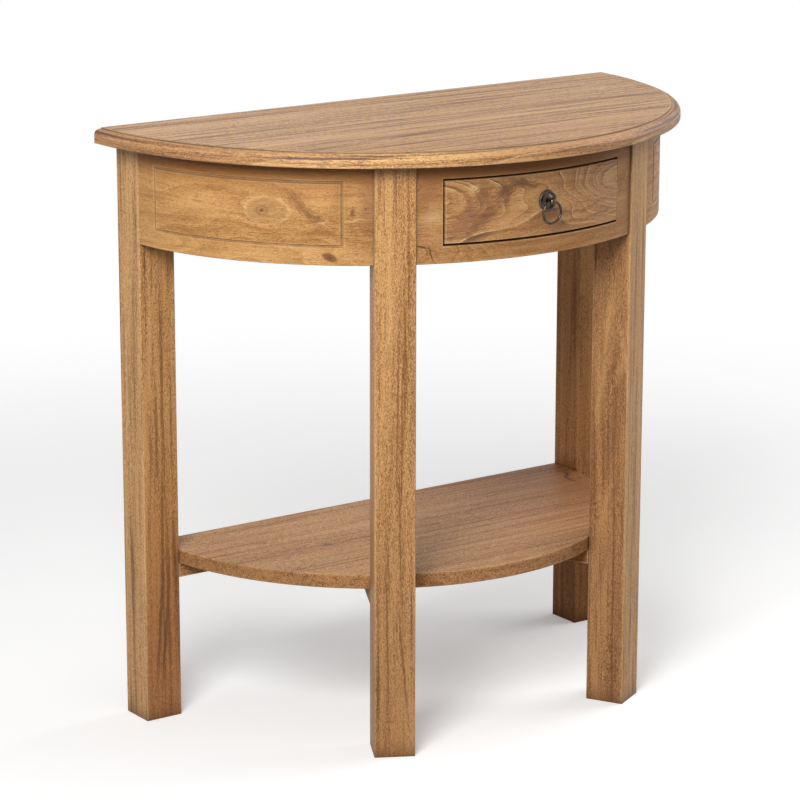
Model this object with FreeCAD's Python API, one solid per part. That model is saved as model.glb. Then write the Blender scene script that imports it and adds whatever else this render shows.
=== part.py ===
# Half-round side table of solid wood: a moulded top, four square legs, curved aprons,
# a bow-fronted drawer with a ring pull, and a low shelf on flat stretchers.
# Millimetres. +Z is up, the curved front faces -Y, and the flat back stands against a wall.
# The origin is on the floor, under the middle of the top's outline.
import FreeCAD, Part
import math
import os
from FreeCAD import Vector

# Overall
half_width = 398.0
back_strip = 7.0
height = 750.0
top_thickness = 18.0
side_overhang = 32.0
front_overhang = 30.0
edge_round = 1.5
back_corner_round = 5.0

# Moulding along the top's rim
rim_width = 12.0
quirk_depth = 1.5
ovolo_height = 7.5

# Legs
leg_width = 50.0
leg_reveal = 2.0
leg_opening_gap = 7.8

# Aprons: an oval ring, centred a little ahead of the back
apron_height = 120.0
apron_thickness = 20.0
apron_centre_set = 33.0
apron_edge_round = 1.0
back_apron_inset = 3.0
upper_rail_height = 19.0
lower_rail_height = 21.0

# Grooves that draw a false drawer on each side apron
panel_front_margin = 37.0
panel_rear_margin = 33.0
groove_width = 4.0
groove_base = 1.6
groove_depth = 1.5

# Tenons, and the room left at the bottom of a mortise
tenon_thickness = 8.0
tenon_length = 18.0
tenon_shoulder = 15.0
mortise_end_gap = 1.0

# Shelf and the flat stretchers under it
shelf_level = 217.0
shelf_thickness = 18.0
shelf_leg_clearance = 0.4
shelf_end_clearance = 0.3
stretcher_width = 50.0
stretcher_thickness = 18.0
stretcher_tenon_width = 30.0

# Drawer: its loose fit lets it sit a little to the right in its opening
opening_width = 261.0
drawer_side_gap = 1.6
drawer_gap_above = 2.3
drawer_gap_below = 2.5
drawer_set = 1.2
drawer_front_thickness = 20.0
drawer_edge_round = 0.8
drawer_side_thickness = 12.0
drawer_side_height = 76.0
slide_clearance = 0.3
dovetail_lap = 8.0
dovetail_count = 2
dovetail_wide = 24.0
dovetail_narrow = 18.0
drawer_back_thickness = 12.0
drawer_back_drop = 8.0
drawer_back_set = 8.0
housing_depth = 4.0
panel_thickness = 6.0
panel_rise = 8.0
panel_groove_depth = 5.0
panel_edge_gap = 0.5

# Drawer's runners, guides, kickers and stops
runner_height = 16.0
runner_lip = 12.0
runner_tenon_width = 16.0
runner_tenon_length = 8.0
guide_thickness = 14.0
guide_height = 20.0
stop_length = 22.0
stop_height = 20.0

# Wooden buttons that hold the top down
button_width = 30.0
button_reach = 24.0
button_height = 16.0
button_tongue_length = 8.0
button_tongue_height = 6.0
button_play = 0.6
button_slot_play = 1.0
button_angles = (48.0, 72.0)
back_button_spacing = 400.0

# Screws
screw_radius = 2.0
small_screw_radius = 1.5
screw_fit = 0.05
button_screw_length = 28.0
kicker_screw_length = 32.0
guide_screw_length = 30.0
shelf_screw_length = 30.0
panel_screw_length = 18.0
kicker_screw_end_set = 50.0
guide_screw_end_set = 60.0
stretcher_screw_end_set = 35.0
stretcher_screw_spacing = 105.0
rear_screw_spacing = 440.0
panel_screw_spacing = 80.0

# Ring pull, and how far it is set right of and above the drawer front's middle
pull_set = 4.4
pull_rise = 3.7
plate_radius = 12.6
plate_edge = 1.2
plate_bead = 2.2
plate_hollow = 1.6
plate_boss = 3.2
plate_boss_radius = 5.0
post_radius = 2.6
post_stem_radius = 2.0
post_fit = 0.1
ball_radius = 4.2
ball_reach = 10.3
eye_radius = 2.55
ring_wire_radius = 1.6
ring_radius = 13.2
washer_radius = 6.0
washer_thickness = 1.0
nut_radius = 4.0
nut_height = 3.2
stem_end = 1.5
spot_face_depth = 0.5

# Worked out from the sizes above
depth = half_width + back_strip
back_y = depth / 2
top_centre_y = back_y - back_strip
apron_top = height - top_thickness
apron_bottom = apron_top - apron_height
opening_bottom = apron_bottom + lower_rail_height
opening_top = apron_top - upper_rail_height
opening_half = opening_width / 2
oval_y = back_y - apron_centre_set
oval_a = half_width - side_overhang
oval_b = depth - front_overhang - apron_centre_set
rear_leg_outer = oval_a
rear_leg_inner = oval_a - leg_width
back_apron_inner_y = back_y - back_apron_inset - apron_thickness
shelf_bottom = shelf_level - shelf_thickness
stretcher_bottom = shelf_bottom - stretcher_thickness
drawer_half = opening_half - drawer_side_gap
drawer_side_inner = drawer_half - drawer_side_thickness
drawer_bottom_z = opening_bottom + slide_clearance
drawer_front_low = opening_bottom + drawer_gap_below
drawer_front_high = opening_top - drawer_gap_above
pull_level = (drawer_front_low + drawer_front_high) / 2 + pull_rise
drawer_rear_y = back_apron_inner_y - stop_length - slide_clearance
runner_inner = drawer_side_inner - runner_lip
runner_outer = opening_half + guide_thickness
face_y = oval_y - oval_b

# How far a cutter passes the face it cuts, and a length that reaches past the whole table
overcut = 1.0
far = 3 * half_width


def box(x_low, x_high, y_low, y_high, z_low, z_high):
    corner = Vector(x_low, y_low, z_low)
    return Part.makeBox(x_high - x_low, y_high - y_low, z_high - z_low, corner)


def mirrored(shape):
    return shape.mirror(Vector(0, 0, 0), Vector(1, 0, 0))


def oval_wire(a, b, centre_y, z):
    centre = Vector(0, centre_y, z)
    if a >= b:
        oval = Part.Ellipse(centre + Vector(a, 0, 0), centre + Vector(0, b, 0), centre)
    else:
        oval = Part.Ellipse(centre + Vector(0, b, 0), centre + Vector(-a, 0, 0), centre)
    return Part.Wire([oval.toShape()])


def oval_prism(a, b, centre_y, z_low, z_high):
    face = Part.Face(oval_wire(a, b, centre_y, z_low))
    return face.extrude(Vector(0, 0, z_high - z_low))


def level_edges(shape, z):
    # Edges that lie flat at one height
    return [edge for edge in shape.Edges
            if abs(edge.BoundBox.ZMin - z) < 1e-6 and abs(edge.BoundBox.ZMax - z) < 1e-6]


def upright_edges(shape):
    return [edge for edge in shape.Edges
            if edge.BoundBox.ZLength > edge.BoundBox.XLength + edge.BoundBox.YLength]


def oval_depth_at(x, a, b):
    # y of the oval's front half at a distance x from the middle
    return oval_y - b * math.sqrt(1 - (x / a) ** 2)


def oval_turn(angle, a, b):
    # How far the oval's outward direction is turned from straight ahead, in degrees
    angle = math.radians(angle)
    return math.degrees(math.atan2(b * math.sin(angle), a * math.cos(angle)))


def leg_corner_x(angle):
    # How far from the table's middle a front leg's inner corner stands
    turn = math.radians(oval_turn(angle, oval_a, oval_b))
    face_x = oval_a * math.sin(math.radians(angle)) + leg_reveal * math.sin(turn)
    return face_x - leg_width * math.sin(turn) - leg_width / 2 * math.cos(turn)


def leg_angle_beside(x):
    # The oval angle at which the leg's inner corner stands at x, found by halving
    low = 0.0
    high = 90.0
    while high - low > 1e-9:
        middle = (low + high) / 2
        if leg_corner_x(middle) < x:
            low = middle
        else:
            high = middle
    return low


# The drawer passes between the front legs, so they stand beside its opening
front_leg_angle = leg_angle_beside(opening_half + leg_opening_gap)


def set_on_oval(shape, angle, a, b, out=0.0):
    # Turns a shape drawn with its face on the XZ plane, and sets it on the oval's left half
    turn = oval_turn(angle, a, b)
    x = -a * math.sin(math.radians(angle)) - out * math.sin(math.radians(turn))
    y = oval_y - b * math.cos(math.radians(angle)) - out * math.cos(math.radians(turn))
    placed = shape.copy()
    placed.rotate(Vector(0, 0, 0), Vector(0, 0, 1), -turn)
    placed.translate(Vector(x, y, 0))
    return placed


def set_at_leg(shape):
    # Local x runs along the front left leg's outer face, local y from that face inwards
    return set_on_oval(shape, front_leg_angle, oval_a, oval_b, leg_reveal)


def angle_along(angle, distance):
    # The oval angle reached by going a short way along the apron
    angle = math.radians(angle)
    rate = math.hypot(oval_a * math.cos(angle), oval_b * math.sin(angle))
    return math.degrees(angle + distance / rate)


def screw(length, radius, fit=0.0):
    # Countersunk screw that points up from the origin; fit widens it into its hole
    shank = radius + fit
    head = 2 * radius + fit
    points = [Vector(0, 0, 0), Vector(head, 0, 0), Vector(shank, 0, head - shank),
              Vector(shank, 0, length - radius), Vector(0, 0, length + fit), Vector(0, 0, 0)]
    section = Part.Face(Part.makePolygon(points))
    return section.revolve(Vector(0, 0, 0), Vector(0, 0, 1), 360)


def screws_at(places, length, radius, fit=0.0, down=False):
    shapes = []
    for place in places:
        shape = screw(length, radius, fit)
        if down:
            shape.rotate(Vector(0, 0, 0), Vector(1, 0, 0), 180)
        shape.translate(place)
        shapes.append(shape)
    return shapes


def button_screw_places():
    places = []
    for angle in button_angles:
        spot = Part.Vertex(0, button_play + button_reach / 2, apron_top - button_height)
        left = set_on_oval(spot, angle, oval_a - apron_thickness, oval_b - apron_thickness).Point
        places += [left, Vector(-left.x, left.y, left.z)]
    for side in (-1, 1):
        y = back_apron_inner_y - button_play - button_reach / 2
        places.append(Vector(side * back_button_spacing / 2, y, apron_top - button_height))
    return places


def kicker_screw_places():
    x = (runner_inner + runner_outer) / 2
    front = oval_depth_at(runner_outer, oval_a - apron_thickness, oval_b - apron_thickness)
    return [Vector(side * x, y, opening_top) for side in (-1, 1)
            for y in (back_apron_inner_y - kicker_screw_end_set, front + kicker_screw_end_set)]


def guide_screw_places():
    x = opening_half + guide_thickness / 2
    front = oval_depth_at(runner_outer, oval_a - apron_thickness, oval_b - apron_thickness)
    return [Vector(side * x, y, opening_bottom + guide_height) for side in (-1, 1)
            for y in (back_apron_inner_y - guide_screw_end_set, front + guide_screw_end_set)]


def shelf_screw_places():
    places = []
    first = leg_width + stretcher_screw_end_set
    for inward in (first, first + stretcher_screw_spacing):
        left = set_at_leg(Part.Vertex(0, inward, stretcher_bottom)).Point
        places += [left, Vector(-left.x, left.y, left.z)]
    for side in (-1, 1):
        places.append(Vector(side * rear_screw_spacing / 2, back_y - stretcher_width / 2, stretcher_bottom))
    return places


def panel_screw_places():
    y = drawer_rear_y - drawer_back_set - drawer_back_thickness / 2
    return [Vector(step * panel_screw_spacing, y, drawer_bottom_z + panel_rise) for step in (-1, 0, 1)]


def top_section(both_sides):
    # The top's cut face: flat below, eased lower edge, square edge, ovolo, quirk and field
    ovolo_base = height - quirk_depth - ovolo_height
    field = half_width - rim_width
    slant = math.sqrt(0.5)
    eased_low = Vector(half_width - edge_round, 0, apron_top)
    eased_mid = Vector(half_width - edge_round * (1 - slant), 0, apron_top + edge_round * (1 - slant))
    eased_high = Vector(half_width, 0, apron_top + edge_round)
    ovolo_low = Vector(half_width, 0, ovolo_base)
    ovolo_mid = Vector(field + rim_width * slant, 0, ovolo_base + ovolo_height * slant)
    ovolo_high = Vector(field, 0, ovolo_base + ovolo_height)
    quirk_top = Vector(field, 0, height)
    rim = [Part.Arc(eased_low, eased_mid, eased_high).toShape(),
           Part.LineSegment(eased_high, ovolo_low).toShape(),
           Part.Arc(ovolo_low, ovolo_mid, ovolo_high).toShape(),
           Part.LineSegment(ovolo_high, quirk_top).toShape()]
    under = Vector(0, 0, apron_top)
    over = Vector(0, 0, height)
    half = [Part.LineSegment(under, eased_low).toShape()] + rim
    half += [Part.LineSegment(quirk_top, over).toShape(), Part.LineSegment(over, under).toShape()]
    face = Part.Face(Part.Wire(half))
    if both_sides:
        return face.fuse(mirrored(face)).removeSplitter()
    return face


def top_back_corner():
    # What is rounded off the top's back left corner, as seen from above
    inner_x = -half_width + back_corner_round
    inner_y = back_y - back_corner_round
    corner = box(-half_width - overcut, inner_x, inner_y, back_y + overcut, apron_top, height)
    kept = Part.makeCylinder(back_corner_round, top_thickness, Vector(inner_x, inner_y, apron_top))
    return corner.cut(kept)


def top_board():
    # Half a turn of the section, and a straight strip along the back
    round_part = top_section(False).revolve(Vector(0, 0, 0), Vector(0, 0, 1), -180)
    strip = top_section(True).extrude(Vector(0, back_strip, 0))
    board = round_part.fuse(strip).removeSplitter()
    board.translate(Vector(0, top_centre_y, 0))
    pilots = screws_at(button_screw_places(), button_screw_length, screw_radius, screw_fit)
    pilots += screws_at(kicker_screw_places(), kicker_screw_length, screw_radius, screw_fit)
    board = board.cut([top_back_corner(), mirrored(top_back_corner())])
    return board.cut(Part.makeCompound(pilots))


def apron_ring():
    outer = oval_prism(oval_a, oval_b, oval_y, apron_bottom, apron_top)
    inner = oval_prism(oval_a - apron_thickness, oval_b - apron_thickness, oval_y, apron_bottom, apron_top)
    return outer.cut(inner)


def eased_below(board):
    # Rounds the lower edge of an apron's outer face
    lower = [edge for edge in level_edges(board, apron_bottom) if on_outer_oval(edge)]
    return board.makeFillet(apron_edge_round, lower)


def middle_of(edge):
    return edge.valueAt((edge.FirstParameter + edge.LastParameter) / 2)


def on_outer_oval(edge):
    spot = middle_of(edge)
    reach = math.hypot(spot.x / oval_a, (spot.y - oval_y) / oval_b)
    return abs(reach - 1) < edge_round / (10 * oval_a)


def apron_tenon_at_rear_leg(extra):
    # Runs back from the left apron into the rear leg's front face
    x = -rear_leg_outer + apron_thickness / 2
    half = tenon_thickness / 2
    front = back_y - leg_width - tenon_length
    rear = back_y - leg_width + tenon_length + extra
    return box(x - half, x + half, front, rear, apron_bottom + tenon_shoulder, apron_top - tenon_shoulder)


def apron_tenon_at_front_leg(side, extra):
    # Runs into a side face of the front left leg; side -1 is the left apron's, 1 the front apron's
    face = side * leg_width / 2
    ends = (face - side * (tenon_length + extra), face + side * apron_thickness / 2)
    middle = leg_reveal + apron_thickness / 2
    half = tenon_thickness / 2
    tenon = box(min(ends), max(ends), middle - half, middle + half,
                apron_bottom + tenon_shoulder, apron_top - tenon_shoulder)
    return set_at_leg(tenon)


def back_apron_tenon(extra):
    middle = back_y - back_apron_inset - apron_thickness / 2
    half = tenon_thickness / 2
    return box(-rear_leg_inner - tenon_length - extra, -rear_leg_inner, middle - half, middle + half,
               apron_bottom + tenon_shoulder, apron_top - tenon_shoulder)


def stretcher_tenon_levels():
    middle = (stretcher_bottom + shelf_bottom) / 2
    return middle - tenon_thickness / 2, middle + tenon_thickness / 2


def rear_stretcher_tenon(extra):
    middle = back_y - stretcher_width / 2
    half = stretcher_tenon_width / 2
    return box(-rear_leg_inner - tenon_length - extra, -rear_leg_inner, middle - half, middle + half,
               *stretcher_tenon_levels())


def radial_tenon_at_leg(extra):
    half = stretcher_tenon_width / 2
    tenon = box(-half, half, leg_width - tenon_length - extra, leg_width + tenon_length,
                *stretcher_tenon_levels())
    return set_at_leg(tenon)


def radial_tenon_at_rear(extra):
    half = stretcher_tenon_width / 2
    tenon = set_at_leg(box(-half, half, leg_width, far, *stretcher_tenon_levels()))
    front = back_y - stretcher_width - tenon_length
    rear = back_y - stretcher_width + tenon_length + extra
    return tenon.common(box(-far, 0, front, rear, 0, height))


def rear_leg():
    post = box(-rear_leg_outer, -rear_leg_inner, back_y - leg_width, back_y, 0, apron_top)
    post = post.makeFillet(edge_round, upright_edges(post))
    mortises = [apron_tenon_at_rear_leg(mortise_end_gap), back_apron_tenon(mortise_end_gap),
                rear_stretcher_tenon(mortise_end_gap)]
    return post.cut(Part.makeCompound(mortises))


def front_leg_post():
    return set_at_leg(box(-leg_width / 2, leg_width / 2, 0, leg_width, 0, apron_top))


def front_leg():
    post = front_leg_post()
    post = post.makeFillet(edge_round, upright_edges(post))
    mortises = [apron_tenon_at_front_leg(side, mortise_end_gap) for side in (-1, 1)]
    mortises.append(radial_tenon_at_leg(mortise_end_gap))
    return post.cut(Part.makeCompound(mortises))


def panel_block(grow):
    # The false drawer's outline on the left apron, carried through the board and widened all round
    rear_angle = math.degrees(math.acos((leg_width - apron_centre_set) / oval_b))
    front_side = set_at_leg(Part.Vertex(-leg_width / 2, leg_reveal, 0)).Point
    front_angle = math.degrees(math.asin(-front_side.x / oval_a))
    front_end = angle_along(front_angle, panel_front_margin)
    rear_end = angle_along(rear_angle, -panel_rear_margin)
    low = opening_bottom + groove_width / 2 - grow
    high = opening_top - groove_width / 2 + grow
    behind = set_on_oval(box(-far, grow, -far, far, low, high), front_end, oval_a, oval_b)
    ahead = set_on_oval(box(-grow, far, -far, far, low, high), rear_end, oval_a, oval_b)
    return behind.common(ahead)


def panel_groove():
    # Square-cut line round the false drawer, one depth all the way
    skin = oval_prism(oval_a + overcut, oval_b + overcut, oval_y, apron_bottom, apron_top)
    core = oval_prism(oval_a - groove_depth, oval_b - groove_depth, oval_y, apron_bottom, apron_top)
    outline = panel_block(groove_base / 2).cut(panel_block(-groove_base / 2))
    return skin.cut(core).common(outline)


def bevelled_groove(board):
    # Opens the square-cut line to its full width at the face
    board = board.cut(panel_groove())
    near = panel_block(groove_width)
    edges = [edge for edge in board.Edges
             if on_outer_oval(edge) and near.isInside(middle_of(edge), groove_base / 100, True)]
    return board.makeChamfer((groove_width - groove_base) / 2, edges)


def side_apron():
    beside_leg = set_at_leg(box(-far, -leg_width / 2, -far, far, 0, height))
    before_rear_leg = box(-far, 0, -far, back_y - leg_width, 0, height)
    board = eased_below(apron_ring().common(beside_leg).common(before_rear_leg))
    board = bevelled_groove(board)
    board = board.fuse([apron_tenon_at_rear_leg(0), apron_tenon_at_front_leg(-1, 0)]).removeSplitter()
    slots = [set_on_oval(button_slot(), angle, oval_a - apron_thickness, oval_b - apron_thickness)
             for angle in button_angles]
    return board.cut(Part.makeCompound(slots))


def opening_edges(shape):
    # The edges round the drawer opening, or round the drawer front, on the outer face
    edges = []
    for edge in shape.Edges:
        spot = middle_of(edge)
        inside = abs(spot.x) < opening_half + edge_round
        between = opening_bottom - edge_round < spot.z < opening_top + edge_round
        if inside and between and spot.y < oval_y and on_outer_oval(edge):
            edges.append(edge)
    return edges


def front_apron():
    opening = box(-opening_half, opening_half, face_y - overcut, oval_y, opening_bottom, opening_top)
    ring = apron_ring().cut(opening)
    ring = ring.makeFillet(drawer_edge_round, opening_edges(ring))
    between_legs = set_at_leg(box(leg_width / 2, far, -far, far, 0, height))
    board = ring.common(between_legs).common(mirrored(between_legs))
    board = eased_below(board.common(box(-far, far, -far, oval_y, 0, height)))
    left = apron_tenon_at_front_leg(1, 0)
    board = board.fuse([left, mirrored(left)]).removeSplitter()
    runner_mortise = runner_front_tenon(mortise_end_gap)
    return board.cut(Part.makeCompound([runner_mortise, mirrored(runner_mortise)]))


def back_apron():
    board = box(-rear_leg_inner, rear_leg_inner, back_apron_inner_y, back_y - back_apron_inset,
                apron_bottom, apron_top)
    board = board.fuse([back_apron_tenon(0), mirrored(back_apron_tenon(0))]).removeSplitter()
    cuts = [runner_rear_tenon(mortise_end_gap), mirrored(runner_rear_tenon(mortise_end_gap))]
    for side in (-1, 1):
        cuts.append(back_button(button_slot(), side))
    return board.cut(Part.makeCompound(cuts))


def shelf():
    # The edge is an oval through a point behind each front leg and one beside each rear leg's front
    end_x = rear_leg_inner - shelf_end_clearance
    seat = set_at_leg(Part.Vertex(0, leg_width + shelf_leg_clearance, 0)).Point
    seat_depth = back_y - seat.y
    share = (end_x * seat_depth) ** 2 - (seat.x * leg_width) ** 2
    a = math.sqrt(share / (seat_depth ** 2 - leg_width ** 2))
    b = math.sqrt(share / (end_x ** 2 - seat.x ** 2))
    board = oval_prism(a, b, back_y, shelf_bottom, shelf_level)
    board = board.makeFillet(edge_round, level_edges(board, shelf_bottom) + level_edges(board, shelf_level))
    board = board.common(box(-end_x, end_x, -far, back_y, 0, height))
    return board.cut(Part.makeCompound(shelf_screws(screw_fit)))


def shelf_screws(fit=0.0):
    return screws_at(shelf_screw_places(), shelf_screw_length, screw_radius, fit)


def rear_stretcher():
    board = box(-rear_leg_inner, rear_leg_inner, back_y - stretcher_width, back_y,
                stretcher_bottom, shelf_bottom)
    tenon = rear_stretcher_tenon(0)
    board = board.fuse([tenon, mirrored(tenon)]).removeSplitter()
    mortise = radial_tenon_at_rear(mortise_end_gap)
    return board.cut(Part.makeCompound([mortise, mirrored(mortise)] + shelf_screws(screw_fit)))


def radial_stretcher():
    # From the front left leg's inner face to the rear stretcher, kept to its own half
    half = stretcher_width / 2
    board = set_at_leg(box(-half, half, leg_width, far, stretcher_bottom, shelf_bottom))
    board = board.common(box(-far, 0, -far, back_y - stretcher_width, 0, height))
    board = board.fuse([radial_tenon_at_leg(0), radial_tenon_at_rear(0)]).removeSplitter()
    return board.cut(Part.makeCompound(shelf_screws(screw_fit)))


def dovetails():
    # Tails on the left side's front end: wide at the tip, narrow at the shoulder
    tip_y = oval_depth_at(drawer_half, oval_a, oval_b) + dovetail_lap
    inner_a = oval_a - drawer_front_thickness
    inner_b = oval_b - drawer_front_thickness
    root_y = oval_depth_at(drawer_side_inner, inner_a, inner_b) + drawer_side_thickness
    pitch = drawer_side_height / dovetail_count
    corners = ((tip_y, -dovetail_wide / 2), (tip_y, dovetail_wide / 2),
               (root_y, dovetail_narrow / 2), (root_y, -dovetail_narrow / 2))
    tails = []
    for place in range(dovetail_count):
        z = drawer_bottom_z + (place + 0.5) * pitch
        points = [Vector(-drawer_half, y, z + rise) for y, rise in corners]
        section = Part.Face(Part.makePolygon(points + points[:1]))
        tails.append(section.extrude(Vector(drawer_side_thickness, 0, 0)))
    return tails


def drawer_panel(extra):
    # The drawer's bottom, which follows the bowed front; extra makes the room in its grooves
    reach = panel_groove_depth + extra
    z = drawer_bottom_z + panel_rise
    behind = drawer_front_thickness - reach
    oval = oval_prism(oval_a - behind, oval_b - behind, oval_y, z, z + panel_thickness)
    half = drawer_side_inner + reach
    return oval.common(box(-half, half, -far, drawer_rear_y - drawer_back_set, z, z + panel_thickness))


def drawer_front():
    outer = oval_prism(oval_a, oval_b, oval_y, drawer_front_low, drawer_front_high)
    inner = oval_prism(oval_a - drawer_front_thickness, oval_b - drawer_front_thickness, oval_y,
                       opening_bottom, opening_top)
    board = outer.cut(inner).common(box(-drawer_half, drawer_half, -far, oval_y, opening_bottom, opening_top))
    board = board.makeFillet(drawer_edge_round, opening_edges(board))
    tails = dovetails()
    cuts = tails + [mirrored(tail) for tail in tails]
    cuts += [drawer_panel(panel_edge_gap), pull_stem_hole()]
    return board.cut(Part.makeCompound(cuts))


def drawer_side():
    # A plank that ends at the front's inner face, with tails that reach into the front
    top_z = drawer_bottom_z + drawer_side_height
    plank = box(-drawer_half, -drawer_side_inner, face_y, drawer_rear_y, drawer_bottom_z, top_z)
    behind = oval_prism(oval_a - drawer_front_thickness, oval_b - drawer_front_thickness, oval_y,
                        drawer_bottom_z, top_z)
    board = plank.common(behind).fuse(dovetails()).removeSplitter()
    return board.cut(drawer_panel(panel_edge_gap)).cut(drawer_back_blank())


def drawer_back_blank():
    half = drawer_side_inner + housing_depth
    rear = drawer_rear_y - drawer_back_set
    return box(-half, half, rear - drawer_back_thickness, rear, drawer_bottom_z + panel_rise + panel_thickness,
               drawer_bottom_z + drawer_side_height - drawer_back_drop)


def panel_screws(fit=0.0):
    return screws_at(panel_screw_places(), panel_screw_length, small_screw_radius, fit)


def runner_front_tenon(extra):
    x = (runner_inner + runner_outer) / 2
    inner = oval_depth_at(x, oval_a - apron_thickness, oval_b - apron_thickness)
    return runner_tenon(-x, inner - runner_tenon_length - extra, inner + runner_tenon_length)


def runner_rear_tenon(extra):
    x = (runner_inner + runner_outer) / 2
    return runner_tenon(-x, back_apron_inner_y - runner_tenon_length,
                        back_apron_inner_y + runner_tenon_length + extra)


def runner_tenon(x, y_low, y_high):
    z = opening_bottom - runner_height / 2
    return box(x - runner_tenon_width / 2, x + runner_tenon_width / 2, y_low, y_high,
               z - tenon_thickness / 2, z + tenon_thickness / 2)


def within_aprons(x_low, x_high, z_low, z_high):
    # A strip from the back apron to the curved inside of the front apron, notched round the leg
    strip = box(x_low, x_high, -far, back_apron_inner_y, z_low, z_high)
    inside = oval_prism(oval_a - apron_thickness, oval_b - apron_thickness, oval_y, z_low, z_high)
    return strip.common(inside).cut(front_leg_post())


def runner():
    strip = within_aprons(-runner_outer, -runner_inner, opening_bottom - runner_height, opening_bottom)
    strip = strip.fuse([runner_front_tenon(0), runner_rear_tenon(0)]).removeSplitter()
    return strip.cut(Part.makeCompound(guide_screws(screw_fit)))


def guide():
    strip = within_aprons(-runner_outer, -opening_half, opening_bottom, opening_bottom + guide_height)
    return strip.cut(Part.makeCompound(guide_screws(screw_fit)))


def guide_screws(fit=0.0):
    return screws_at(guide_screw_places(), guide_screw_length, screw_radius, fit, down=True)


def kicker():
    strip = within_aprons(-runner_outer, -runner_inner, opening_top, apron_top)
    return strip.cut(Part.makeCompound(kicker_screws(screw_fit)))


def kicker_screws(fit=0.0):
    return screws_at(kicker_screw_places(), kicker_screw_length, screw_radius, fit)


def drawer_stop():
    return box(-drawer_half, -drawer_side_inner, back_apron_inner_y - stop_length, back_apron_inner_y,
               opening_bottom, opening_bottom + stop_height)


def button():
    # Block under the top, with a tongue that reaches into a slot in the apron
    half = button_width / 2
    low = apron_top - button_height
    block = box(-half, half, button_play, button_play + button_reach, low, apron_top)
    tongue = box(-half, half, -button_tongue_length, button_play, low, low + button_tongue_height)
    return block.fuse(tongue).removeSplitter()


def button_slot():
    half = button_width / 2 + button_slot_play
    low = apron_top - button_height
    return box(-half, half, -button_tongue_length - button_slot_play, button_play,
               low, low + button_tongue_height)


def back_button(shape, side):
    # Turned to face the back apron
    placed = shape.copy()
    placed.rotate(Vector(0, 0, 0), Vector(0, 0, 1), 180)
    placed.translate(Vector(side * back_button_spacing / 2, back_apron_inner_y, 0))
    return placed


def buttons():
    blocks = []
    for angle in button_angles:
        left = set_on_oval(button(), angle, oval_a - apron_thickness, oval_b - apron_thickness)
        blocks += [left, mirrored(left)]
    blocks += [back_button(button(), side) for side in (-1, 1)]
    holes = Part.makeCompound(button_screws(screw_fit))
    return [block.cut(holes) for block in blocks]


def button_screws(fit=0.0):
    return screws_at(button_screw_places(), button_screw_length, screw_radius, fit)


def turned(points):
    # A piece of the pull turned about its post; points are distances from the axis and ahead of the drawer
    outline = [Vector(radius, face_y - ahead, 0) for radius, ahead in points]
    section = Part.Face(Part.makePolygon(outline + outline[:1]))
    piece = section.revolve(Vector(0, 0, 0), Vector(0, 1, 0), 360)
    piece.translate(Vector(pull_set, 0, pull_level))
    return piece


def pull_stem_hole():
    stem = post_stem_radius + post_fit
    inside = -drawer_front_thickness
    seat = inside + spot_face_depth
    washer = washer_radius + spot_face_depth
    return turned([(0, overcut), (stem, overcut), (stem, seat), (washer, seat), (washer, inside - overcut),
                   (0, inside - overcut)])


def pull_backplate():
    # Thin edge, raised bead, shallow hollow and a boss round the post
    bead = (plate_radius + plate_boss_radius) / 2
    step = (plate_radius - plate_boss_radius) / 6
    stem = post_stem_radius + post_fit
    return turned([(stem, 0), (plate_radius, 0), (plate_radius, plate_edge), (bead + 2 * step, plate_bead),
                   (bead + step, plate_bead), (bead, plate_hollow), (bead - step, plate_hollow),
                   (plate_boss_radius, plate_boss), (stem, plate_boss)])


def pull_post():
    # Stem through the drawer front, neck, and a ball with an eye for the ring
    inside = -drawer_front_thickness + spot_face_depth - washer_thickness - nut_height - stem_end
    shaft = turned([(0, inside), (post_stem_radius, inside), (post_stem_radius, plate_boss),
                    (post_radius, plate_boss), (post_radius, ball_reach), (0, ball_reach)])
    ball = Part.makeSphere(ball_radius, ring_pivot())
    beside = Vector(ball_radius + overcut, 0, 0)
    eye = Part.makeCylinder(eye_radius, 2 * beside.x, ring_pivot() - beside, Vector(1, 0, 0))
    return shaft.fuse(ball).cut(eye)


def ring_pivot():
    return Vector(pull_set, face_y - ball_reach, pull_level)


def pull_ring():
    centre = ring_pivot() - Vector(0, 0, ring_radius)
    return Part.makeTorus(ring_radius, ring_wire_radius, centre, Vector(0, 1, 0))


def pull_washer():
    stem = post_stem_radius + post_fit
    seat = -drawer_front_thickness + spot_face_depth
    return turned([(stem, seat), (washer_radius, seat), (washer_radius, seat - washer_thickness),
                   (stem, seat - washer_thickness)])


def pull_nut():
    seat = face_y + drawer_front_thickness - spot_face_depth + washer_thickness
    centre = Vector(pull_set, seat, pull_level)
    corners = []
    for corner in range(7):
        angle = math.radians(60 * corner)
        corners.append(centre + Vector(nut_radius * math.cos(angle), 0, nut_radius * math.sin(angle)))
    nut = Part.Face(Part.makePolygon(corners)).extrude(Vector(0, nut_height, 0))
    return nut.cut(Part.makeCylinder(post_stem_radius + post_fit, nut_height, centre, Vector(0, 1, 0)))


def in_pairs(left_pieces):
    # Each piece of the left half, and its mirror image on the right
    pieces = {}
    for name, shape in left_pieces.items():
        pieces[name.format("left")] = shape
        pieces[name.format("right")] = mirrored(shape)
    return pieces


def frame_pieces():
    pieces = {"top": top_board(), "front_apron": front_apron(), "back_apron": back_apron(),
              "shelf": shelf(), "rear_stretcher": rear_stretcher()}
    pieces.update(in_pairs({"rear_{}_leg": rear_leg(), "front_{}_leg": front_leg(), "{}_apron": side_apron(),
                            "{}_stretcher": radial_stretcher(), "{}_runner": runner(), "{}_guide": guide(),
                            "{}_kicker": kicker()}))
    stop = drawer_stop()
    pieces["drawer_stops"] = Part.makeCompound([stop, mirrored(stop)])
    pieces["top_buttons"] = Part.makeCompound(buttons())
    return pieces


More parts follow.
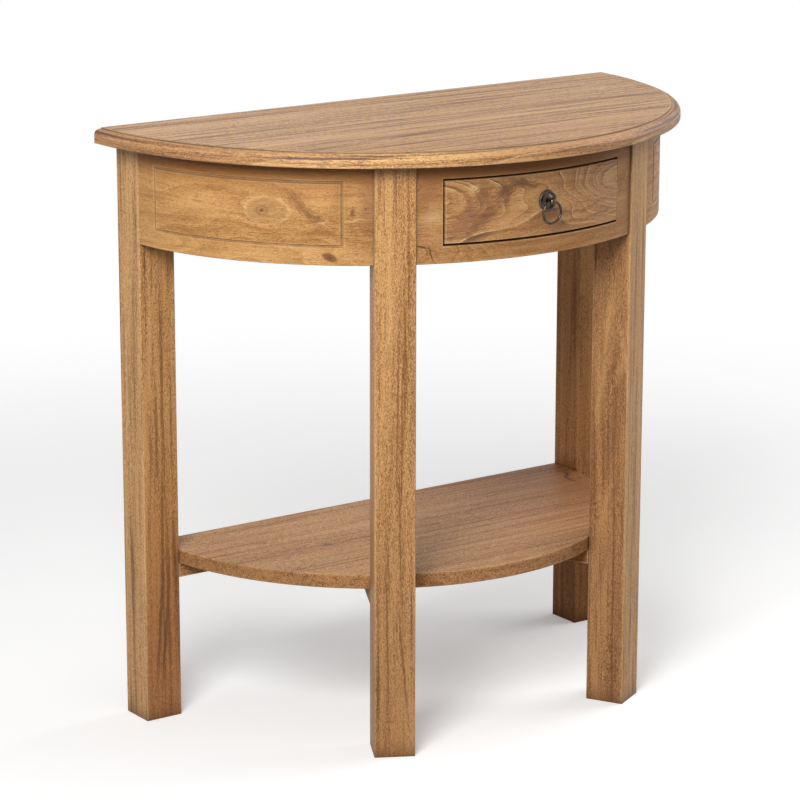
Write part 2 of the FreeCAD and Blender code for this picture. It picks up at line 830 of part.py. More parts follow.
def fastenings():
    return {"button_screws": Part.makeCompound(button_screws()),
            "kicker_screws": Part.makeCompound(kicker_screws()),
            "guide_screws": Part.makeCompound(guide_screws()),
            "shelf_screws": Part.makeCompound(shelf_screws())}


def drawer_pieces():
    # The drawer and its pull, moved to where the drawer sits in its opening
    screw_holes = Part.makeCompound(panel_screws(screw_fit))
    pieces = {"drawer_front": drawer_front(), "drawer_back": drawer_back_blank().cut(screw_holes),
              "drawer_bottom": drawer_panel(0).cut(screw_holes),
              "drawer_bottom_screws": Part.makeCompound(panel_screws()),
              "pull_backplate": pull_backplate(), "pull_post": pull_post(), "pull_ring": pull_ring(),
              "pull_washer": pull_washer(), "pull_nut": pull_nut()}
    pieces.update(in_pairs({"drawer_{}_side": drawer_side()}))
    for shape in pieces.values():
        shape.translate(Vector(drawer_set, 0, 0))
    return pieces


os.makedirs("parts", exist_ok=True)
for group in (frame_pieces(), fastenings(), drawer_pieces()):
    for name, shape in group.items():
        shape.exportStep("parts/" + name + ".step")
        print(name, len(shape.Solids), "solid(s)", round(shape.Volume / 1000, 2), "cm3", shape.isValid())
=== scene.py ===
import math
import bpy
from mathutils import Euler, Matrix, Vector


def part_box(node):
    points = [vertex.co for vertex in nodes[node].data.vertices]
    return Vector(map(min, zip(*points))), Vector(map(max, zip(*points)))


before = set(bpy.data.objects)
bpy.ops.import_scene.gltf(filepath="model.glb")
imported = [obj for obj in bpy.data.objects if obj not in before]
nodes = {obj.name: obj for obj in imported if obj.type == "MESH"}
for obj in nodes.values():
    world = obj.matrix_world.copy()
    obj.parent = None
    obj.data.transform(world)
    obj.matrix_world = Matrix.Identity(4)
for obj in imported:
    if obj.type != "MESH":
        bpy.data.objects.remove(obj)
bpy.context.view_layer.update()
print("frame loaded:", len(nodes), "pieces")

# Where the curved boards turn about, metres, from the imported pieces
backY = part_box("rear_left_leg")[1].y
apronSet = 0.033  # the apron's oval is centred this far ahead of the back
apronMiddle = backY - apronSet
apronRadius = 0.5 * (-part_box("rear_left_leg")[0].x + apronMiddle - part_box("drawer_front")[0].y)
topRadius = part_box("top")[1].x
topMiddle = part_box("top")[0].y + topRadius
legTurn = math.radians(28.35)  # the front legs face along the curve
legHalf = 0.025  # half a leg's width

white = (1.0, 1.0, 1.0, 1.0)


def addNode(tree, kind, **settings):
    node = tree.nodes.new(kind)
    for name, value in settings.items():
        setattr(node, name, value)
    return node


def feed(tree, socket, value):
    # A socket takes another socket or a plain value
    if isinstance(value, bpy.types.NodeSocket):
        tree.links.new(value, socket)
    elif value is not None:
        socket.default_value = value


def calc(tree, operation, first, second=None, third=None, clamp=False):
    node = addNode(tree, "ShaderNodeMath", operation=operation, use_clamp=clamp)
    for socket, value in zip(node.inputs, (first, second, third)):
        feed(tree, socket, value)
    return node.outputs[0]


def vectorCalc(tree, operation, first, second=None):
    node = addNode(tree, "ShaderNodeVectorMath", operation=operation)
    feed(tree, node.inputs[0], first)
    feed(tree, node.inputs[1], second)
    return node.outputs["Value" if operation in ("LENGTH", "DOT_PRODUCT") else "Vector"]


def scaled(tree, vector, amount):
    node = addNode(tree, "ShaderNodeVectorMath", operation="SCALE")
    feed(tree, node.inputs[0], vector)
    feed(tree, node.inputs["Scale"], amount)
    return node.outputs["Vector"]


def spread(tree, value, low, high, newLow=0.0, newHigh=1.0, smooth=False):
    # Takes a value from one range to another, kept inside it
    node = addNode(tree, "ShaderNodeMapRange", clamp=True)
    if smooth:
        node.interpolation_type = "SMOOTHSTEP"
    for socket, part in zip(node.inputs, (value, low, high, newLow, newHigh)):
        feed(tree, socket, part)
    return node.outputs[0]


def splitVector(tree, vector):
    node = addNode(tree, "ShaderNodeSeparateXYZ")
    tree.links.new(vector, node.inputs[0])
    return node.outputs


def mixColour(tree, share, first, second):
    node = addNode(tree, "ShaderNodeMix", data_type="RGBA")
    feed(tree, node.inputs["Factor"], share)
    feed(tree, node.inputs[6], first)
    feed(tree, node.inputs[7], second)
    return node.outputs[2]


def mixVector(tree, share, first, second):
    node = addNode(tree, "ShaderNodeMix", data_type="VECTOR")
    feed(tree, node.inputs["Factor"], share)
    feed(tree, node.inputs[4], first)
    feed(tree, node.inputs[5], second)
    return node.outputs[1]


def mixShader(tree, share, first, second):
    node = addNode(tree, "ShaderNodeMixShader")
    for socket, part in zip(node.inputs, (share, first, second)):
        tree.links.new(part, socket)
    return node.outputs[0]


noiseRange = (0.30, 0.70)  # nearly all of a noise lies in here


def noiseNode(tree, vector, stretch, detail, roughness):
    # Noise drawn out along the grain: stretch is cycles per metre along, across and through
    node = addNode(tree, "ShaderNodeTexNoise")
    node.inputs["Scale"].default_value = 1.0
    node.inputs["Detail"].default_value = detail
    node.inputs["Roughness"].default_value = roughness
    tree.links.new(vectorCalc(tree, "MULTIPLY", vector, stretch), node.inputs["Vector"])
    return node


def evenNoise(tree, vector, stretch, detail, roughness=0.55):
    # Noise spread over the whole of 0 to 1
    return spread(tree, noiseNode(tree, vector, stretch, detail, roughness).outputs["Fac"], *noiseRange)


def driftNoise(tree, vector, stretch, detail):
    # A direction that wanders either side of nothing
    colour = noiseNode(tree, vector, stretch, detail, roughness=0.5).outputs["Color"]
    return vectorCalc(tree, "SUBTRACT", colour, (0.5, 0.5, 0.5))


def sockets(kind, *labels):
    return [(label, "NodeSocket" + kind) for label in labels]


def newGroup(name, inputs, outputs):
    tree = bpy.data.node_groups.new(name, "ShaderNodeTree")
    for label, kind in inputs:
        tree.interface.new_socket(label, in_out="INPUT", socket_type=kind)
    for label, kind in outputs:
        tree.interface.new_socket(label, in_out="OUTPUT", socket_type=kind)
    return tree, addNode(tree, "NodeGroupInput").outputs, addNode(tree, "NodeGroupOutput").inputs


def bentBoardGroup():
    # Unrolls a curved board: along its arc, up, and out from its radius
    inputs = sockets("Vector", "Vector", "Middle") + sockets("Float", "Radius")
    outputs = sockets("Vector", "Vector") + sockets("Float", "Outwards")
    tree, given, result = newGroup("bentBoard", inputs, outputs)
    centred = vectorCalc(tree, "SUBTRACT", given["Vector"], given["Middle"])
    parts = splitVector(tree, centred)
    ahead = calc(tree, "MULTIPLY", parts["Y"], -1.0)
    turn = calc(tree, "ARCTAN2", parts["X"], ahead)
    flat = vectorCalc(tree, "LENGTH", vectorCalc(tree, "MULTIPLY", centred, (1.0, 1.0, 0.0)))
    outwards = calc(tree, "SUBTRACT", flat, given["Radius"])
    whole = addNode(tree, "ShaderNodeCombineXYZ")
    tree.links.new(calc(tree, "MULTIPLY", turn, given["Radius"]), whole.inputs["X"])
    tree.links.new(parts["Z"], whole.inputs["Y"])
    tree.links.new(outwards, whole.inputs["Z"])
    tree.links.new(whole.outputs[0], result["Vector"])
    tree.links.new(outwards, result["Outwards"])
    return tree


# One spot of figure: noise as cycles per metre, and pairs that say where a mask starts and where it is full
spotLook = dict(
    waver=dict(stretch=(70.0, 90.0, 0.0), detail=4.0),
    stroke=dict(stretch=(90.0, 640.0, 0.0), detail=3.0, roughness=0.6), strokeShare=0.9, feather=(0.80, 1.30),
    inside=(1.0, 0.75), ringed=(-0.2, 1.0), rim=(0.13, 0.0))


def figureSpotGroup():
    # Rings round one spot on a board: far is the distance from it in units of Reach, Waver is metres
    inputs = sockets("Vector", "Vector", "Centre", "Reach")
    inputs += sockets("Float", "Turn", "Waver", "Rings", "Heart")
    outputs = sockets("Float", "Bell", "Feather", "Inside", "Ringed", "Rim", "Core")
    tree, given, result = newGroup("figureSpot", inputs, outputs)
    wander = scaled(tree, driftNoise(tree, given["Vector"], **spotLook["waver"]), given["Waver"])
    away = vectorCalc(tree, "SUBTRACT", vectorCalc(tree, "ADD", given["Vector"], wander), given["Centre"])
    turned = addNode(tree, "ShaderNodeVectorRotate", rotation_type="Z_AXIS")
    tree.links.new(vectorCalc(tree, "MULTIPLY", away, (1.0, 1.0, 0.0)), turned.inputs["Vector"])
    tree.links.new(given["Turn"], turned.inputs["Angle"])
    far = vectorCalc(tree, "LENGTH", vectorCalc(tree, "DIVIDE", turned.outputs["Vector"], given["Reach"]))
    bell = calc(tree, "POWER", math.e, calc(tree, "MULTIPLY", calc(tree, "POWER", far, 2.0), -1.0))
    inside = spread(tree, far, *spotLook["inside"], smooth=True)
    wave = calc(tree, "MULTIPLY", calc(tree, "MULTIPLY", far, given["Rings"]), 2 * math.pi)
    wave = calc(tree, "SINE", wave)
    stroke = evenNoise(tree, turned.outputs["Vector"], **spotLook["stroke"])
    feather = calc(tree, "MULTIPLY_ADD", stroke, spotLook["strokeShare"], bell)
    feather = spread(tree, feather, *spotLook["feather"])
    tree.links.new(bell, result["Bell"])
    tree.links.new(feather, result["Feather"])
    tree.links.new(inside, result["Inside"])
    tree.links.new(calc(tree, "MULTIPLY", inside, spread(tree, wave, *spotLook["ringed"])), result["Ringed"])
    fromRim = calc(tree, "ABSOLUTE", calc(tree, "SUBTRACT", far, 1.0))
    tree.links.new(spread(tree, fromRim, *spotLook["rim"]), result["Rim"])
    tree.links.new(spread(tree, far, given["Heart"], 0.0, smooth=True), result["Core"])
    return tree


# The grain's noises, as cycles per metre along, across and through the grain
grainNoise = dict(
    warp=dict(stretch=(2.2, 8.0, 8.0), detail=2.5),
    swirl=dict(stretch=(6.5, 21.0, 21.0), detail=1.5),
    fade=dict(stretch=(5.0, 45.0, 45.0), detail=3.0),
    band=dict(stretch=(2.4, 30.0, 30.0), detail=3.0),
    streak=dict(stretch=(4.0, 170.0, 170.0), detail=4.0, roughness=0.65),
    speck=dict(stretch=(380.0, 900.0, 900.0), detail=2.0, roughness=0.6),
    pore=dict(stretch=(110.0, 900.0, 900.0), detail=2.0, roughness=0.6))

# Pairs say where a mask starts and where it is full; a ring's are places through it, from 0 to 1
grainLook = dict(
    unevenScale=0.45, unevenShare=2.2,  # uneven widths of the rings
    closing=(1.0, 0.92), late=(0.05, 0.90), line=(0.74, 0.93), gleam=(0.14, 0.0), fade=(0.40, 0.85),
    darkStreak=(0.38, 0.08), pore=(0.44, 0.34), poreByBand=(0.1, 0.9, 1.0, 0.35),
    lateMiddle=0.4, restDepth=0.36,  # how deep the colour is where nothing changes it
    speckHeight=0.4, poreHeight=-0.9, lineHeight=-0.6, streakHeight=0.5)


def ringTurn(tree, given, bent):
    # How far through its growth ring each point is, by its distance from a tilted pith line
    parts = splitVector(tree, bent)
    across = calc(tree, "SUBTRACT", parts["Y"], given["Pith Across"])
    lean = calc(tree, "MULTIPLY", parts["X"], given["Tilt"])
    below = calc(tree, "ADD", calc(tree, "ADD", parts["Z"], given["Pith Below"]), lean)
    squares = calc(tree, "ADD", calc(tree, "POWER", across, 2.0), calc(tree, "POWER", below, 2.0))
    far = calc(tree, "SQRT", squares)
    count = calc(tree, "MULTIPLY", calc(tree, "ADD", far, given["Shift"]), given["Rings"])
    swirl = evenNoise(tree, given["Vector"], **grainNoise["swirl"])
    count = calc(tree, "MULTIPLY_ADD", swirl, given["Swirl"], count)
    uneven = addNode(tree, "ShaderNodeTexNoise", noise_dimensions="1D")
    uneven.inputs["Scale"].default_value = grainLook["unevenScale"]
    tree.links.new(count, uneven.inputs["W"])
    count = calc(tree, "MULTIPLY_ADD", uneven.outputs["Fac"], grainLook["unevenShare"], count)
    return calc(tree, "FRACT", count)


def plankGrainGroup():
    # Growth rings round a pith line, broad bands, dark streaks along the grain, specks and short dark pores
    inputs = sockets("Vector", "Vector") + sockets("Color", "Pale", "Deep", "Line", "Gleam")
    inputs += sockets("Float", "Pith Across", "Pith Below", "Tilt", "Rings", "Swirl", "Ring Strength",
                      "Lines", "Wander", "Bands", "Streaks", "Specks", "Pores", "Shift")
    outputs = sockets("Color", "Color") + sockets("Float", "Height", "Gloss")
    tree, given, result = newGroup("plankGrain", inputs, outputs)
    warp = scaled(tree, driftNoise(tree, given["Vector"], **grainNoise["warp"]), given["Wander"])
    bent = vectorCalc(tree, "ADD", given["Vector"], warp)
    turn = ringTurn(tree, given, bent)
    closing = spread(tree, turn, *grainLook["closing"], smooth=True)
    fade = evenNoise(tree, bent, **grainNoise["fade"])
    late = calc(tree, "MULTIPLY", spread(tree, turn, *grainLook["late"], smooth=True), closing)
    line = calc(tree, "MULTIPLY", spread(tree, turn, *grainLook["line"], smooth=True), closing)
    line = calc(tree, "MULTIPLY", line, spread(tree, fade, *grainLook["fade"]))
    band = evenNoise(tree, bent, **grainNoise["band"])
    streak = evenNoise(tree, bent, **grainNoise["streak"])
    darkStreak = spread(tree, streak, *grainLook["darkStreak"])
    speck = evenNoise(tree, bent, **grainNoise["speck"])
    pore = spread(tree, noiseNode(tree, bent, **grainNoise["pore"]).outputs["Fac"], *grainLook["pore"])
    pore = calc(tree, "MULTIPLY", pore, spread(tree, band, *grainLook["poreByBand"]))
    depth = calc(tree, "SUBTRACT", late, grainLook["lateMiddle"])
    depth = calc(tree, "MULTIPLY_ADD", depth, given["Ring Strength"], grainLook["restDepth"])
    for value, strength in ((band, given["Bands"]), (streak, given["Streaks"]), (speck, given["Specks"])):
        depth = calc(tree, "MULTIPLY_ADD", calc(tree, "SUBTRACT", 0.5, value), strength, depth)
    colour = mixColour(tree, spread(tree, depth, 0.0, 1.0), given["Pale"], given["Deep"])
    gleam = spread(tree, turn, *grainLook["gleam"], smooth=True)
    gleam = calc(tree, "MULTIPLY", gleam, spread(tree, fade, *grainLook["fade"]))
    colour = mixColour(tree, calc(tree, "MULTIPLY", gleam, given["Lines"]), colour, given["Gleam"])
    for value, strength in ((line, given["Lines"]), (darkStreak, given["Streaks"]), (pore, given["Pores"])):
        colour = mixColour(tree, calc(tree, "MULTIPLY", value, strength, clamp=True), colour, given["Line"])
    tree.links.new(colour, result["Color"])
    height = calc(tree, "MULTIPLY", speck, grainLook["speckHeight"])
    for value, change in ((pore, "poreHeight"), (line, "lineHeight"), (streak, "streakHeight")):
        height = calc(tree, "MULTIPLY_ADD", value, grainLook[change], height)
    tree.links.new(height, result["Height"])
    tree.links.new(streak, result["Gloss"])
    return tree


# Rubbed edges with painted highlight: match is how well the rounded-off normal agrees with the true one
rubAndHighlightLook = dict(samples=6, noise=dict(stretch=(30.0, 30.0, 30.0), detail=3.0), match=(0.998, 0.86), least=0.35)


def rubbedEdgeAndHighlightGroup():
    # Pale rubbed edges and painted highlight: where the rounded-off normal leaves the true one, broken up by
    # noise
    inputs = sockets("Vector", "Vector") + sockets("Float", "Reach")
    tree, given, result = newGroup("rubbedEdgeAndHighlight", inputs, sockets("Float", "Mask"))
    rounded = addNode(tree, "ShaderNodeBevel", samples=rubAndHighlightLook["samples"])
    tree.links.new(given["Reach"], rounded.inputs["Radius"])
    true = addNode(tree, "ShaderNodeNewGeometry")
    match = vectorCalc(tree, "DOT_PRODUCT", rounded.outputs["Normal"], true.outputs["Normal"])
    rub = evenNoise(tree, given["Vector"], **rubAndHighlightLook["noise"])
    edge = spread(tree, match, *rubAndHighlightLook["match"])
    rub = spread(tree, rub, 0.0, 1.0, rubAndHighlightLook["least"], 1.0)
    tree.links.new(calc(tree, "MULTIPLY", edge, rub), result["Mask"])
    return tree


# Corner dirt and painted shade: how open a corner is where the darkening starts and where it is full, 1 is
# all open
dirtAndShadeLook = dict(samples=6, open=(0.92, 0.40))


def cornerDirtAndShadeGroup():
    # Dirt and painted shade that settle in tight corners, grooves and joints
    tree, given, result = newGroup("cornerDirtAndShade", sockets("Float", "Reach"), sockets("Float", "Mask"))
    clear = addNode(tree, "ShaderNodeAmbientOcclusion", samples=dirtAndShadeLook["samples"])
    tree.links.new(given["Reach"], clear.inputs["Distance"])
    tree.links.new(spread(tree, clear.outputs["AO"], *dirtAndShadeLook["open"]), result["Mask"])
    return tree


groups = {"bentBoard": bentBoardGroup(), "figureSpot": figureSpotGroup(), "plankGrain": plankGrainGroup(),
          "rubbedEdgeAndHighlight": rubbedEdgeAndHighlightGroup(), "cornerDirtAndShade": cornerDirtAndShadeGroup()}
print("shader groups built:", ", ".join(groups))


def placeGroup(tree, name, **values):
    node = addNode(tree, "ShaderNodeGroup")
    node.node_tree = groups[name]
    for label, value in values.items():
        feed(tree, node.inputs[label.replace("_", " ")], value)
    return node


def newMaterial(name):
    material = bpy.data.materials.new(name)
    material.use_nodes = True
    tree = material.node_tree
    return material, tree, tree.nodes["Principled BSDF"]


def addBump(tree, surface, height, strength, depth):
    bump = addNode(tree, "ShaderNodeBump")
    bump.inputs["Strength"].default_value = strength
    bump.inputs["Distance"].default_value = depth
    tree.links.new(height, bump.inputs["Height"])
    tree.links.new(bump.outputs["Normal"], surface.inputs["Normal"])


def dress(material, *names):
    for name in names:
        nodes[name].data.materials.clear()
        nodes[name].data.materials.append(material)


# Wood colours, linear
tones = dict(
    straw=(0.90, 0.64, 0.34, 1.0),
    biscuit=(0.82, 0.480, 0.190, 1.0),
    sand=(0.76, 0.480, 0.235, 1.0),
    honey=(0.72, 0.400, 0.150, 1.0),
    fawn=(0.64, 0.360, 0.150, 1.0),
    toffee=(0.60, 0.320, 0.125, 1.0),
    amber=(0.53, 0.265, 0.100, 1.0),
    auburn=(0.52, 0.215, 0.068, 1.0),
    olive=(0.46, 0.265, 0.105, 1.0),
    brown=(0.34, 0.135, 0.032, 1.0),
    russet=(0.32, 0.115, 0.028, 1.0),
    plum=(0.30, 0.125, 0.060, 1.0),
    walnut=(0.20, 0.080, 0.026, 1.0),
    cocoa=(0.20, 0.075, 0.020, 1.0),
    umber=(0.110, 0.038, 0.010, 1.0),
    bark=(0.04, 0.014, 0.005, 1.0))

woodDefaults = dict(
    # Tones, with others on a rim or on the board's edges
    pale="honey", deep="brown", line="umber", rim=None, side=None,
    # Which way the grain runs, and the place in the log that the board is cut from
    along=(1, 0, 0), across=(0, 1, 0), bent=False, start=(0.0, 0.0, 0.0),
    # Growth rings per metre, where their pith lies, metres, and how they stray
    rings=80.0, pithAcross=0.04, pithBelow=0.10, tilt=0.12, swirl=1.0, wander=0.014,
    # How strong each part of the grain is
    ringStrength=0.35, lines=0.6, bands=0.5, streaks=0.45, specks=0.85, pores=0.55,
    # Marks placed one by one
    washes=(), knots=(), stains=(),
    # Rubbed edges with painted highlight, dirt with painted shade in corners, and wider painted shade, as
    # under the top: how strong, and how far they reach, metres
    edge=0.8, edgeReach=0.003, dirtAndShade=0.6, dirtAndShadeReach=0.005, paintedShade=0.0, paintedShadeReach=0.028,
    # The surface
    bump=0.8, bumpDepth=0.0006, rough=(0.42, 0.60), ior=1.45, sheen=0.25)

# Marks: at and reach are metres along the grain and across it, turn is degrees, waver is metres
stainDefaults = dict(turn=0.0, waver=0.012, edge="Bell")
streakDefaults = dict(waver=0.003, stain="cocoa", share=0.7, edge="Feather")
knotDefaults = dict(turn=0.0, waver=0.002, rings=2.0, lift=0.0, stain="plum", ringed=0.25, rim=0.35,
                    rimTone="umber", core=0.85)


def streak(**mark):
    # A fine dark streak along the grain
    return {**streakDefaults, **mark}


def plume(**mark):
    # A stain that breaks up into strokes
    return dict(edge="Feather", **mark)


def swell(**mark):
    # Bends the rings round a spot and leaves no mark of its own
    return dict(heart=0.0, share=0.0, ringed=0.0, rim=0.0, core=0.0, **mark)


def grainTurn(along, across):
    # Turns a piece so that its grain runs along X and its wide face across Y
    along = Vector(along).normalized()
    across = Vector(across).normalized()
    return Matrix((along, across, along.cross(across))).to_euler("XYZ")


def boardVector(tree, spot, look):
    # Along the grain, across the board and through it; on a moulded rim the grain follows the rim
    if look["bent"]:
        bent = placeGroup(tree, "bentBoard", Vector=spot, Middle=(0.0, apronMiddle, 0.0), Radius=apronRadius)
        return bent.outputs["Vector"], None
    turned = addNode(tree, "ShaderNodeMapping")
    turned.inputs["Rotation"].default_value = grainTurn(look["along"], look["across"])
    tree.links.new(spot, turned.inputs["Vector"])
    if not look["rim"]:
        return turned.outputs["Vector"], None
    rim = placeGroup(tree, "bentBoard", Vector=spot, Middle=(0.0, topMiddle, 0.0), Radius=topRadius)
    outwards = rim.outputs["Outwards"]
    onRim = calc(tree, "GREATER_THAN", outwards, -look["rim"]["width"])
    return mixVector(tree, onRim, turned.outputs["Vector"], rim.outputs["Vector"]), outwards


def boardTones(tree, look, normal, outwards):
    # The pale and deep tones and the streaks, with others on a moulded rim or on the board's edges
    pale, deep, streaks = tones[look["pale"]], tones[look["deep"]], look["streaks"]
    rim, side = look["rim"], look["side"]
    if rim:
        onRim = calc(tree, "GREATER_THAN", outwards, -rim["width"])
        onSide = calc(tree, "GREATER_THAN", outwards, -rim["side"])
        streaks = calc(tree, "MULTIPLY_ADD", onRim, rim["moreStreaks"], streaks)
        pale = mixColour(tree, onRim, pale, tones[rim["pale"]])
        pale = mixColour(tree, onSide, pale, tones[rim["sidePale"]])
        deep = mixColour(tree, onRim, deep, tones[rim["deep"]])
        deep = mixColour(tree, onSide, deep, tones[rim["sideDeep"]])
    if side:
        # The board's edges, where its face turns away from level
        level = calc(tree, "ABSOLUTE", splitVector(tree, normal)["Z"])
        onEdge = spread(tree, level, *side["level"])
        pale = mixColour(tree, onEdge, pale, tones[side["pale"]])
        deep = mixColour(tree, onEdge, deep, tones[side["deep"]])
    return pale, deep, streaks


def placeSpot(tree, plain, mark, rings=0.0, heart=0.0):
    centre = (*mark["at"], 0.0)
    reach = (*mark["reach"], 1.0)
    turn = math.radians(mark["turn"])
    return placeGroup(tree, "figureSpot", Vector=plain, Centre=centre, Reach=reach, Turn=turn,
                      Waver=mark["waver"], Rings=rings, Heart=heart).outputs


def placeKnots(tree, plain, marks):
    # The masks of each knot, and how far all of them shift the rings
    knots = []
    shift = 0.0
    for mark in marks:
        mark = {**knotDefaults, **mark}
        masks = placeSpot(tree, plain, mark, mark["rings"], mark["heart"])
        shift = calc(tree, "MULTIPLY_ADD", masks["Bell"], mark["lift"], shift)
        knots.append((masks, mark))
    return knots, shift


def overlay(tree, colour, mask, strength, tone, clamp=False):
    # Lays a tone over a colour as far as a mask and a strength say
    return mixColour(tree, calc(tree, "MULTIPLY", mask, strength, clamp=clamp), colour, tones[tone])


def addKnot(tree, colour, masks, mark):
    colour = overlay(tree, colour, masks["Inside"], mark["share"], mark["stain"])
    colour = overlay(tree, colour, masks["Ringed"], mark["ringed"], "umber")
    colour = overlay(tree, colour, masks["Rim"], mark["rim"], mark["rimTone"])
    return overlay(tree, colour, masks["Core"], mark["core"], "umber")


def addWearAndShade(tree, colour, spot, look):
    # Pale rubbed edges with painted highlight, dirt and painted shade in tight corners, and wider painted
    # shade, as under the top, where a board has it
    wornAndLit = placeGroup(tree, "rubbedEdgeAndHighlight", Vector=spot, Reach=look["edgeReach"]).outputs["Mask"]
    colour = overlay(tree, colour, wornAndLit, look["edge"], "straw")
    dirtAndShade = placeGroup(tree, "cornerDirtAndShade", Reach=look["dirtAndShadeReach"]).outputs["Mask"]
    colour = overlay(tree, colour, dirtAndShade, look["dirtAndShade"], "bark")
    if look["paintedShade"]:
        paintedShade = placeGroup(tree, "cornerDirtAndShade", Reach=look["paintedShadeReach"]).outputs["Mask"]
        colour = overlay(tree, colour, paintedShade, look["paintedShade"], "umber", clamp=True)
    return colour


def woodMaterial(name, **look):
    look = {**woodDefaults, **look}
    material, tree, surface = newMaterial(name)
    place = addNode(tree, "ShaderNodeTexCoord").outputs
    spot = place["Object"]
    plain, outwards = boardVector(tree, spot, look)
    moved = addNode(tree, "ShaderNodeMapping")
    moved.inputs["Location"].default_value = look["start"]
    tree.links.new(plain, moved.inputs["Vector"])
    pale, deep, streaks = boardTones(tree, look, place["Normal"], outwards)
    for mark in look["washes"]:
        mark = {**stainDefaults, **mark}
        share = calc(tree, "MULTIPLY", placeSpot(tree, plain, mark)["Bell"], mark["wash"])
        pale = mixColour(tree, share, pale, tones[mark["pale"]])
        deep = mixColour(tree, share, deep, tones[mark["deep"]])
    knots, shift = placeKnots(tree, plain, look["knots"])
    grain = placeGroup(
        tree, "plankGrain", Vector=moved.outputs["Vector"], Pale=pale, Deep=deep, Line=tones[look["line"]],
        Gleam=tones["straw"], Pith_Across=look["pithAcross"], Pith_Below=look["pithBelow"], Tilt=look["tilt"],
        Rings=look["rings"], Swirl=look["swirl"], Ring_Strength=look["ringStrength"], Lines=look["lines"],
        Wander=look["wander"], Bands=look["bands"], Streaks=streaks, Specks=look["specks"],
        Pores=look["pores"], Shift=shift).outputs
    colour = grain["Color"]
    for mark in look["stains"]:
        mark = {**stainDefaults, **mark}
        mask = placeSpot(tree, plain, mark)[mark["edge"]]
        colour = overlay(tree, colour, mask, mark["share"], mark["stain"])
    for masks, mark in knots:
        colour = addKnot(tree, colour, masks, mark)
    colour = addWearAndShade(tree, colour, spot, look)
    tree.links.new(colour, surface.inputs["Base Color"])
    low, high = look["rough"]
    tree.links.new(spread(tree, grain["Gloss"], 0.0, 1.0, high, low), surface.inputs["Roughness"])
    addBump(tree, surface, grain["Height"], look["bump"], look["bumpDepth"])
    surface.inputs["IOR"].default_value = look["ior"]
    surface.inputs["Specular IOR Level"].default_value = look["sheen"]
    return material


# The top: width and side are how far in from the edge the rim and its square side reach
topRim = dict(width=0.0135, pale="amber", deep="walnut", side=0.0015, sidePale="toffee", sideDeep="russet",
              moreStreaks=0.65)
# The first three washes are on the rim, along it from the front's middle and up, and paint shade on its left
# and right and light on its front; the others are on the field
topWashesAndRimLight = (
    dict(at=(-0.52, 0.735), reach=(0.15, 0.10), wash=1.0, pale="amber", deep="cocoa"),
    dict(at=(-0.22, 0.735), reach=(0.14, 0.10), wash=1.0, pale="biscuit", deep="brown"),
    dict(at=(0.16, 0.735), reach=(0.16, 0.10), wash=1.0, pale="amber", deep="cocoa"),
    dict(at=(-0.27, 0.12), reach=(0.22, 0.18), wash=0.9, pale="sand", deep="plum"),
    dict(at=(0.27, 0.10), reach=(0.20, 0.20), wash=0.4, pale="sand", deep="plum"),
    dict(at=(-0.12, -0.12), reach=(0.25, 0.07), wash=0.8, pale="toffee", deep="brown"),
)
topLook = dict(
    pale="fawn", deep="plum", rim=topRim, start=(0.3, 0.1, 0.0), washes=topWashesAndRimLight,
    rings=150.0, pithAcross=0.9, pithBelow=0.3, tilt=0.02, swirl=0.4, wander=0.008,
    lines=0.55, bands=0.22, streaks=0.85, specks=1.4, pores=1.0,
    dirtAndShade=0.95, bump=0.5, rough=(0.50, 0.62), sheen=0.78)
dress(woodMaterial("topWood", **topLook), "top")


def acrossMiddle(name, across):
    low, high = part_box(name)
    return Vector(across).dot((low + high) / 2)


# The legs: grain upright, each cut from another place in the log; marks are placed by height and across
leftAcross = (math.cos(legTurn), -math.sin(legTurn), 0.0)
rightFacing = (math.sin(legTurn), -math.cos(legTurn), 0.0)
rearLeft = acrossMiddle("rear_left_leg", (1, 0, 0))
frontLeft = acrossMiddle("front_left_leg", leftAcross)
frontRight = acrossMiddle("front_right_leg", rightFacing)
rearLeftFigure = dict(
    washes=(
        dict(at=(0.08, rearLeft), reach=(0.24, 0.08), wash=1.0, pale="auburn", deep="cocoa"),
        # painted light and sheen on the leg's left face
        dict(at=(0.35, rearLeft - 0.027), reach=(1.5, 0.004), waver=0.0, wash=0.9,
             pale="biscuit", deep="brown"),
    ),
    stains=(
        streak(at=(0.42, rearLeft + 0.004), reach=(0.20, 0.0022), turn=0.8),
        streak(at=(0.37, rearLeft - 0.005), reach=(0.09, 0.0030), turn=0.5, share=0.8),
        streak(at=(0.38, rearLeft + 0.016), reach=(0.10, 0.0018)),
        streak(at=(0.24, rearLeft + 0.001), reach=(0.13, 0.0028), turn=-1.0),
        streak(at=(0.125, rearLeft - 0.004), reach=(0.085, 0.0030), turn=-4.0, stain="umber", share=0.75),
        streak(at=(0.095, rearLeft + 0.002), reach=(0.060, 0.0028), turn=-5.0, stain="umber", share=0.75),
        streak(at=(0.150, rearLeft + 0.007), reach=(0.070, 0.0024), turn=-3.0, share=0.8),
    ),
)
frontLeftFigure = dict(
    washes=(dict(at=(0.05, frontLeft), reach=(0.25, 0.08), wash=0.9, pale="amber", deep="cocoa"),),
    stains=(
        streak(at=(0.45, frontLeft + 0.003), reach=(0.16, 0.0016), turn=-0.6),
        streak(at=(0.44, frontLeft + 0.008), reach=(0.10, 0.0016), turn=-0.8),
        streak(at=(0.28, frontLeft + 0.006), reach=(0.12, 0.0016), turn=0.6),
        streak(at=(0.24, frontLeft - 0.008), reach=(0.06, 0.0016), turn=2.0, share=0.6),
        streak(at=(0.12, frontLeft + 0.010), reach=(0.10, 0.0018), turn=5.0, share=0.8),
    ),
)
